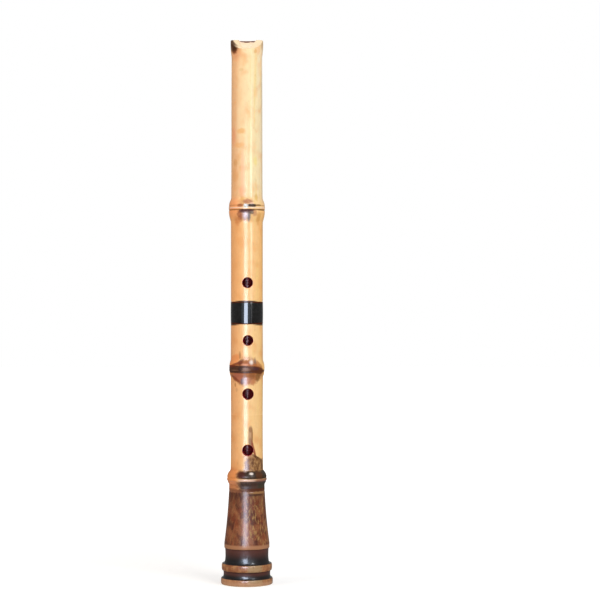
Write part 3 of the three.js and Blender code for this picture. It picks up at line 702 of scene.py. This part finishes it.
# Upper culm: bamboo cut through a node at the mouth, where the rim is cut a little off square and
# an oblique facet makes the blowing edge. It has one finger hole in front and the thumb hole behind.
TENON_SEAT = 11.4
SOCKET_CEILING = 292.7
LINING_TOP = 521
UPPER_BAND_TOP = 282.3
RIM_EDGE, RIM_FLAT, BORE_EDGE = 1.1, 15.15, 0.2
RIM_TILT, TILT_FOOT = math.radians(4), 526
FACET_TILT, FACET_BOW = math.radians(39), 40
FACET_DEPTH, FACET_HEIGHT = -10.5, 540.2
UPPER_HOLES = ((301.1, 1, 5.1, FRONT), (336.1, 0, 5.1, BACK))
UPPER_SCAR = (-2, 375.8, 380, 18, 0.045)
UPPER_STAINS_AND_PAINTED_LIGHT = (
    # Round the upper node: orange to the left, a pink-brown cloud over it, purple and grey under it; some
    # patches are painted highlights, marked below
    ((-52, 376), (34, 10), 0, "f8a46a", 0.8, 0.3, 0.9),
    ((-10, 381), (16, 3), 0, "d09a5a", 0.6, 0.3, 0.9),
    ((6, 382), (19, 2.6), 0, "b87a5c", 0.9, 0.3, 0.7),
    ((-16, 385), (8, 2.4), 0, "e0a850", 0.6, 0.3, 0.9),
    ((38, 386), (8, 3.4), 0, "dcb058", 0.6, 0.3, 0.9),
    ((18, 380), (8, 0.9), 0, "f0c4b0", 0.85, 0.1, 0.8),
    ((-21, 378), (11, 1.8), 0, "a05026", 0.92, 0.2, 0.8),
    ((0, 378.2), (400, 0.5), 0, "b07a44", 0.6, 0.2, 0.9),
    ((18, 377.9), (16, 1.6), 0, "2c1812", 0.98, 0.06, 0.5, 3),
    ((42, 378.2), (11, 0.9), 0, "8a5a24", 0.9, 0.1, 0.7, 3),
    ((0, 375.8), (400, 0.6), 0, "fcdcc4", 0.85, 0.1, 0.9),
    ((-22, 368), (11, 5.6), 0, "9c5030", 0.9, 0.3, 0.8),
    ((-34, 363), (13, 5), 0, "d8884a", 0.8, 0.35, 0.9),
    # Painted highlight: greyish lilac under the shine below the node
    ((-6, 368), (9, 6), 0, "b898a4", 0.7, 0.2, 0.8),
    ((8, 367.4), (6.4, 5.6), 0, "5a5c74", 0.85, 0.2, 0.95),
    ((28, 370.5), (8, 3.4), 0, "c88a66", 0.8, 0.3, 0.9),
    ((44, 365.5), (10, 6), 0, "d89a4a", 0.75, 0.35, 0.9),
    ((0, 372.2), (24, 1.9), 0, "5a3434", 0.95, 0.12, 0.5, 3),
    ((16, 370.6), (9, 1.6), 0, "5c4a34", 0.85, 0.2, 0.7),
    ((0, 373.7), (400, 0.65), 0, "a06a34", 0.85, 0.1, 0.8),
    ((58, 373.7), (26, 0.8), 0, "7a5028", 0.8, 0.05, 0.8, 3),
    ((2, 373.4), (26, 1), 0, "4a2424", 0.95, 0.1, 0.6, 3),
    # Painted highlights: a bright spot on the bud scar, and a lilac patch under the node
    ((-2, 377.6), (8, 2.2), 0, "ccd4d8", 0.95, 0.05, 0.8),
    ((-3, 367), (8, 3.6), 0, "ccc0d4", 0.55, 0.1, 1),
    # At the mouth: a dark brown patch on the left shoulder with an orange halo, and small marks; painted
    # shade down both edges of the culm; and the dark line over the band
    ((-44, 530), (24, 8), 0, "eda272", 0.6, 0.3, 0.9),
    ((46, 533), (15, 5), 0, "f8bc84", 0.65, 0.4, 1),
    # Painted shade at the right edge of the culm
    ((76, 538), (16, 5), 0, "c49c68", 0.7, 0.2, 0.9),
    ((-51, 533.5), (16, 4.6), 0, "7c3c14", 0.95, 0.12, 0.7, 2.4),
    ((-60, 538.5), (31, 7), -0.03, "4a2a0c", 0.98, 0.1, 0.6, 2.4),
    # Painted shade at the left edge of the culm
    ((-90, 528), (26, 11), 0, "b08460", 0.5, 0.4, 1),
    ((34, 531.5), (7, 2.2), 0, "e6b070", 0.7, 0.3, 0.9),
    ((-20, 513), (9, 1.8), 0, "dcb070", 0.6, 0.3, 0.9),
    ((-2, 282.6), (44, 0.8), 0, "2a1206", 0.95, 0.05, 0.6),
    # Clouds up the stalk, most of them on the left; the first is painted light
    # Painted light: a pale patch left of the front near the top, where the light falls more fully
    ((-22, 476), (19, 46), 0, "fce8ba", 0.5, 0.15, 1),
    ((-50, 408), (16, 10), 0, "eaaa6c", 0.7, 0.4, 0.9),
    ((-46, 421), (12, 3.6), 0, "dc9e5e", 0.7, 0.4, 0.9),
    ((-58, 447), (14, 10), 0, "f4a478", 0.7, 0.4, 0.9),
    ((-20, 452), (18, 3), 0, "f0b05c", 0.7, 0.4, 0.9),
    ((-30, 438), (20, 3), 0, "f4b068", 0.6, 0.4, 0.9),
    ((-16, 392), (14, 5), 0, "fab088", 0.7, 0.4, 0.9),
    ((-14, 412), (8, 22), 0, "ffccaa", 0.6, 0.3, 0.9),
    ((34, 422), (9, 5), 0, "f2dc7c", 0.6, 0.4, 0.9),
)


def upper_look(tree):
    cut, change, mouth = (371.4, 374.4), (366, 400), (495, 520)
    chart = use(tree, "culm chart")
    above = skin_ground_and_painted_shade(tree, chart, "f6c492", "f8e4b4", "f8e4be")
    below = skin_ground_and_painted_shade(tree, chart, "f8b878", "fbca8a", "f9c078")
    ground = blend(tree, remap(tree, chart["Height"], *change), below, above)
    looks = use(tree, "bamboo skin", Place=chart["Place"], Ground=ground, Cloud="eea45e", Fleck="c39a62")
    gloss = product(tree, remap(tree, chart["Height"], *mouth, 1, 0.3),
                    dulled(tree, between(tree, chart["Height"], *cut, 0.6), 0.3))
    return stained(tree, looks["Color"], chart, UPPER_STAINS_AND_PAINTED_LIGHT), looks["Dull"], looks["Relief"], gloss


def pushed(outline, move):
    """A flat outline pushed through by move."""
    bm = bmesh.new()
    face = bm.faces.new([bm.verts.new(point) for point in outline])
    grown = bmesh.ops.extrude_face_region(bm, geom=[face])["geom"]
    bmesh.ops.translate(bm, vec=move, verts=[v for v in grown if isinstance(v, bmesh.types.BMVert)])
    return bm


def on_facet(name, outline, move, wall):
    """A tool made in the facet's own axes, Z up its slope and Y into the wall, and put on the facet."""
    into, up = math.cos(FACET_TILT), math.sin(FACET_TILT)
    bm = pushed(outline, move)
    for v in bm.verts:
        x, y, z = v.co
        v.co = Vector((x, FACET_DEPTH + y * into + z * up, FACET_HEIGHT - y * up + z * into)) * MM
    return made(name, bm, wall)


def keystone(gap, wall):
    """The inlay's shape less a gap, or its pocket where there is none; it widens up the facet."""
    down, foot_width, up, top_width, depth = 7.2, 8, 4, 16.4, 3
    outside, top = 5, 9
    slant = (top_width - foot_width) / 2 / (up + down)
    half_foot, foot = foot_width / 2 - gap, gap - down
    half_top = half_foot + slant * (top - foot)
    corners = ((-half_foot, foot), (half_foot, foot), (half_top, top), (-half_top, top))
    outline = [(x, -outside, z) for x, z in corners]
    return on_facet("keystone", outline, (0, outside + depth - gap, 0), wall)


def straight_edge():
    """A block that widens the front of the bore at the mouth, so that the blowing edge runs straight."""
    half, depth, middle, squareness = 9.2, 9.8, 0.7, 4
    foot, height, steps = 535, 14, 32
    turns = [math.pi * i / steps for i in range(steps + 1)]
    outline = [(middle + math.copysign(half * abs(math.cos(a)) ** (2 / squareness), math.cos(a)),
                -depth * abs(math.sin(a)) ** (2 / squareness)) for a in turns]
    return made("block", pushed([(x * MM, y * MM, foot * MM) for x, y in outline], (0, 0, height * MM)),
                red_lacquer)


def upper_blank(name):
    """The upper culm before the inlay's pocket is cut."""
    rim, facing_up, near_top = FLUTE_LENGTH - RIM_EDGE, 0.6, 540
    lining_foot, lining_top = (bore_radius(height) + LINING_SEAT for height in (SOCKET_CEILING, LINING_TOP))
    blank = turned(name, [
        (TENON_SEAT, PARTING), (SEAT_RADIUS, PARTING), (SEAT_RADIUS, UPPER_BAND_TOP),
        *skin(UPPER_BAND_TOP, rim), *corner(RIM_FLAT, rim, RIM_EDGE, 0, 90),
        (MOUTH_BORE + BORE_EDGE, FLUTE_LENGTH), (MOUTH_BORE, FLUTE_LENGTH - BORE_EDGE),
        (bore_radius(LINING_TOP), LINING_TOP), (lining_top, LINING_TOP),
        (lining_foot, SOCKET_CEILING), (TENON_SEAT, SOCKET_CEILING),
    ], upper_skin, cut_bamboo, red_lacquer)
    for face in blank.data.polygons:
        if face.normal.z > facing_up and face.center.z > near_top * MM:
            face.material_index = CUT
        elif faces_axis(face):
            face.material_index = LACQUERED
    scarred(blank, *UPPER_SCAR)
    for v in blank.data.vertices:
        share = max(0, (v.co.z / MM - TILT_FOOT) / (FLUTE_LENGTH - TILT_FOOT))
        v.co.z -= (RIM_FLAT * MM - v.co.y) * math.tan(RIM_TILT) * share
    half, reach, steps = 21, 42, 48
    sides = [half - 2 * half * i / steps for i in range(steps + 1)]
    bow = [(x, FACET_BOW - math.sqrt(FACET_BOW ** 2 - x * x), -reach) for x in sides]
    outline = [(-half, -reach, -reach), (half, -reach, -reach), *bow]
    facet = on_facet("facet", outline, (0, 0, 2 * reach), cut_bamboo)
    return carved(blank, facet, straight_edge(), *map(drill, UPPER_HOLES))


upper_skin = lacquered("upper culm skin", upper_look, 0.4, 0.05, coat=0.7, coat_roughness=0.23,
                       specular=0.22)
upper_culm = carved(upper_blank("upper_culm_bamboo"), keystone(0, cut_bamboo))
finished(upper_culm, "upper_half", "upper_culm")

# Blowing edge inlay: a keystone of pale horn let into the facet, flush with it and with the bore,
# and bonded there with a thin line of glue.
GLUE = 0.1


def horn_look(tree):
    """Pale horn with a faint grain, rosy towards the blowing edge."""
    rosy = (538.5, 541.5)
    chart = use(tree, "culm chart")
    grain = noise(tree, scaled(tree, chart["Place"], 0.4, 1, 1), 0.9, 4, 0.6, 1.0)
    color = blend(tree, remap(tree, grain, 0.35, 0.7), "fdf0d8", "f4dcb4")
    rose = product(tree, remap(tree, chart["Height"], *rosy), 0.5)
    return blend(tree, rose, color, "f8ccb4"), grain, grain


horn = lacquered("horn", horn_look, 0.3, 0.02, coat=0.5, coat_roughness=0.12, specular=0.3)
inlay = carved(upper_blank("horn_inlay"), keystone(GLUE, horn), operation="INTERSECT")
inlay.data.materials.clear()
inlay.data.materials.append(horn)
for face in inlay.data.polygons:
    face.material_index = 0
finished(inlay, "upper_half", "blowing_edge_inlay")

# Bore linings: ground paste rubbed to the bore's shape and lacquered dark red. The upper one runs on
# down inside the tenon, where it is thinner.
LINING_WALL, THIN_WALL = 1, 0.6
UPPER_LINING_FOOT, LOWER_LINING_FOOT = 250.8, 0.6
UPPER_LINING_TOP = LINING_TOP - GLUE


def bore_wall(wall, *heights):
    """Points at some heights, each outside the bore by the wall."""
    return [(bore_radius(height) + wall, height) for height in heights]


upper_lining = turned("upper_lining", [
    *bore_wall(0, UPPER_LINING_FOOT), *bore_wall(THIN_WALL, UPPER_LINING_FOOT, SOCKET_CEILING),
    *bore_wall(LINING_WALL, SOCKET_CEILING, UPPER_LINING_TOP), *bore_wall(0, UPPER_LINING_TOP, PARTING),
], red_lacquer, steps=96)
carved(upper_lining, *map(drill, UPPER_HOLES))
finished(upper_lining, "upper_half", "upper_bore_lining")
lower_lining = turned("lower_lining", [
    *bore_wall(0, LOWER_LINING_FOOT), *bore_wall(LINING_WALL, LOWER_LINING_FOOT, THROAT[1], SOCKET_FLOOR),
    *bore_wall(0, SOCKET_FLOOR, THROAT[1]),
], red_lacquer, steps=96)
carved(lower_lining, *map(drill, LOWER_HOLES))
finished(lower_lining, "lower_half", "lower_bore_lining")

# Middle joint: a bamboo tenon held in the upper culm, which slides into a sleeve in the lower one.
# Both are lacquered red-brown and rubbed, with fine rings left by the turning.
TENON_FOOT, TENON_TOP, TENON_RADIUS, TENON_LINING = 250.5, 292.4, 11.3, 0.7
SLEEVE_FOOT, SLEEVE_BORE, SLEEVE_RADIUS, SLEEVE_EDGE = 250.3, 11.5, 12.3, 0.2
# Rounded foot of the tenon: how far inside its face, and how far up
TENON_EDGE = ((0.6, 0), (0.35, 0.08), (0.08, 0.35), (0, 0.6))


def joint_look(tree):
    chart = use(tree, "culm chart")
    rings = noise(tree, scaled(tree, chart["Place"], 0.05, 0.05, 1), 2.5, 3)
    worn = noise(tree, chart["Place"], 0.22, 4)
    color = blend(tree, remap(tree, rings, 0.3, 0.7), "6b2018", "7d2a1c")
    return blend(tree, remap(tree, worn, 0.5, 0.75, 0, 0.6), color, "93432a"), worn, rings


joint_lacquer = lacquered("joint lacquer", joint_look, 0.34, 0.02, coat=0.7, coat_roughness=0.15,
                          specular=0.22)
tenon_edge = [(TENON_RADIUS - inside, TENON_FOOT + up) for inside, up in TENON_EDGE]
tenon = turned("tenon_tube", [
    *bore_wall(TENON_LINING, TENON_FOOT), *tenon_edge,
    (TENON_RADIUS, TENON_TOP), *bore_wall(TENON_LINING, TENON_TOP, PARTING),
], joint_lacquer, steps=128)
finished(tenon, "tenon", "joint_tenon")
sleeve = turned("socket_sleeve", [
    (SLEEVE_BORE, SLEEVE_FOOT), (SLEEVE_RADIUS, SLEEVE_FOOT), (SLEEVE_RADIUS, LOWER_FACE),
    (SLEEVE_BORE + SLEEVE_EDGE, LOWER_FACE), (SLEEVE_BORE, LOWER_FACE - SLEEVE_EDGE),
], joint_lacquer, steps=128)
finished(sleeve, "lower_half", "joint_socket_sleeve")

# Joint bands: barrel-shaped black lacquered bands beside the parting, each over a flat winding of
# thread that keeps the culm from splitting. The bands are new meshes, the windings stay as packed.
BANDS_MIDDLE, BANDS_HALF_LENGTH = 271, 11.2
UPPER_BAND_HEIGHT, LOWER_BAND_HEIGHT, LOWER_BAND_FACE = 10.2, 12.17, 271.97
THREAD_PITCH = 0.4


def black_look(tree):
    """Black, worn through to brown at the bands' outer edges, most of all at the sides."""
    brown_from, dull_from = (10.4, 10.9), (10.3, 10.8)
    chart = use(tree, "culm chart")
    smear = noise(tree, chart["Place"], 0.35, 4)
    color = blend(tree, remap(tree, smear, 0.35, 0.7), "121110", "1a1a1a")
    worn = maths(tree, "ABSOLUTE", maths(tree, "SUBTRACT", chart["Height"], BANDS_MIDDLE))
    worn = maths(tree, "ADD", worn, product(tree, smear, 0.6))
    worn = maths(tree, "ADD", worn, product(tree, maths(tree, "POWER", chart["Side"], 2), 0.9))
    color = blend(tree, remap(tree, worn, *brown_from), color, "4e2410")
    return color, smear, noise(tree, chart["Place"], 0.25, 1), remap(tree, worn, *dull_from, 1, 0.15)


def thread_look(tree):
    chart = use(tree, "culm chart")
    turns = maths(tree, "SINE", product(tree, chart["Height"], math.tau / THREAD_PITCH))
    return blend(tree, remap(tree, turns, -1, 1), "5e4a30", "9a8360"), turns, turns


black_lacquer = lacquered("black lacquer", black_look, 0.25, 0.01, coat_roughness=0.05, coat_ior=1.65)
winding = lacquered("thread winding", thread_look, 0.8, 0.1, coat=0, specular=0.5)


def band(name, face, away, height, body, node_name):
    """A band from its face at the parting, where a lip is turned in over its thread."""
    radius, swell, edge, steps = 16.05, 0.15, 0.25, 24
    bore, lip_bore, lip = 15.25, 14.55, 0.8
    outline = [(lip_bore, face)]
    for i in range(steps + 1):
        at = face + away * height * i / steps
        inside = max(0, edge - height * (1 - i / steps))
        round_off = edge - math.sqrt(max(0, edge ** 2 - inside ** 2)) if i > steps / 2 else 0
        barrel = swell * (1 - ((at - BANDS_MIDDLE) / BANDS_HALF_LENGTH) ** 2)
        outline.append((radius + barrel - round_off, at))
    outline += [(bore, face + away * height), (bore, face + away * lip), (lip_bore, face + away * lip)]
    finished(turned(name, outline, black_lacquer), body, node_name)
    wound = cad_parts[node_name.replace("joint_band", "band_thread")]
    wound.data.materials.clear()
    wound.data.materials.append(winding)


band("upper_band", PARTING, 1, UPPER_BAND_HEIGHT, "upper_half", "upper_joint_band")
band("lower_band", LOWER_BAND_FACE, -1, LOWER_BAND_HEIGHT, "lower_half", "lower_joint_band")

# Floor and light: a pale floor and a white room, four lamps that are only seen as reflections down
# the lacquer, and a soft lamp on either side that only lights the flute.
FLOOR_HALF = 6
WHITE = (1, 1, 1, 1)


def seen_white(tree, ways, facing):
    """How white a ray sees its surroundings: all that the camera sees, and what lies straight behind."""
    behind = product(tree, ways["Is Glossy Ray"], remap(tree, facing, 0.98, 0.998))
    behind = maths(tree, "MAXIMUM", behind, ways["Is Transmission Ray"])
    return maths(tree, "MAXIMUM", ways["Is Camera Ray"], behind)


material = bpy.data.materials.new("floor")
material.use_nodes = True
tree = material.node_tree
tree.nodes.remove(tree.nodes["Principled BSDF"])
ways = node(tree, "ShaderNodeLightPath").outputs
spot = node(tree, "ShaderNodeTexCoord").outputs["Object"]
far = length(tree, spot)
facing = maths(tree, "DIVIDE", node(tree, "ShaderNodeSeparateXYZ", spot).outputs["Y"], far)
# Painted shade: the floor glows less near the flute, so it is darker round its foot and the shadow shows
# there
seen = product(tree, seen_white(tree, ways, facing), remap(tree, far, 0.15, 1.2, 0.55, 1))
glow = node(tree, "ShaderNodeEmission", WHITE, seen).outputs[0]
shade = grey(tree, remap(tree, ways["Is Glossy Ray"], 0, 1, 0.6, 0.2))
matte = node(tree, "ShaderNodeBsdfDiffuse", shade).outputs[0]
both = node(tree, "ShaderNodeAddShader", glow, matte).outputs[0]
feed(tree, tree.nodes["Material Output"].inputs, Surface=both)
bm = bmesh.new()
bmesh.ops.create_grid(bm, x_segments=1, y_segments=1, size=FLOOR_HALF)
floor = made("floor", bm, material)

world = bpy.data.worlds.new("room")
scene.world = world
world.use_nodes = True
tree = world.node_tree
ways = node(tree, "ShaderNodeLightPath").outputs
sight = node(tree, "ShaderNodeTexCoord").outputs["Generated"]
facing = node(tree, "ShaderNodeSeparateXYZ", sight).outputs["Y"]
room = remap(tree, ways["Is Glossy Ray"], 0, 1, 0.5, 0.15)
light = maths(tree, "MAXIMUM", seen_white(tree, ways, facing), room)
feed(tree, tree.nodes["Background"].inputs, Color=WHITE, Strength=light)


def lamp(name, place, width, height, radiance, color, lean=0, soft=False):
    """A lamp of the given radiance, aimed at the flute: one that only shines, or only a reflection."""
    soft_aim = 0.25
    data = bpy.data.lights.new(name, "AREA")
    data.color = color
    data.shape = "RECTANGLE"
    data.size, data.size_y = width, height
    data.energy = radiance * width * height * math.pi
    holder = bpy.data.objects.new(name, data)
    holder.location = place
    aim = Vector((0, 0, soft_aim if soft else place[2]))
    turn = (aim - Vector(place)).to_track_quat("-Z", "Y") @ Quaternion((0, 0, 1), math.radians(lean))
    holder.rotation_euler = turn.to_euler()
    holder.visible_camera = False
    holder.visible_diffuse = soft
    holder.visible_glossy = not soft
    scene.collection.objects.link(holder)


lamp("tall_lamp_left", (-0.085, -0.791, 0.19), 0.34, 0.42, 12.6, (0.69, 0.79, 0.98), lean=-10)
lamp("wide_lamp_left", (-0.085, -0.9, 0.2), 1.1, 0.5, 0.5, (0.6, 0.8, 1))
lamp("tall_lamp_right", (0.553, -0.833, 0.45), 0.2, 0.25, 12, (0.9, 0.94, 1))
lamp("thin_lamp_right", (0.57, -0.82, 0.2), 0.05, 0.3, 1.5, (0.9, 0.94, 1))
lamp("soft_lamp_right", (1.08, -1.42, 1.3), 1, 1, 7.6, (1, 0.98, 0.95), soft=True)
lamp("soft_lamp_left", (-1.5, -0.87, 0.9), 1, 1, 4, (1, 0.8, 0.6), soft=True)
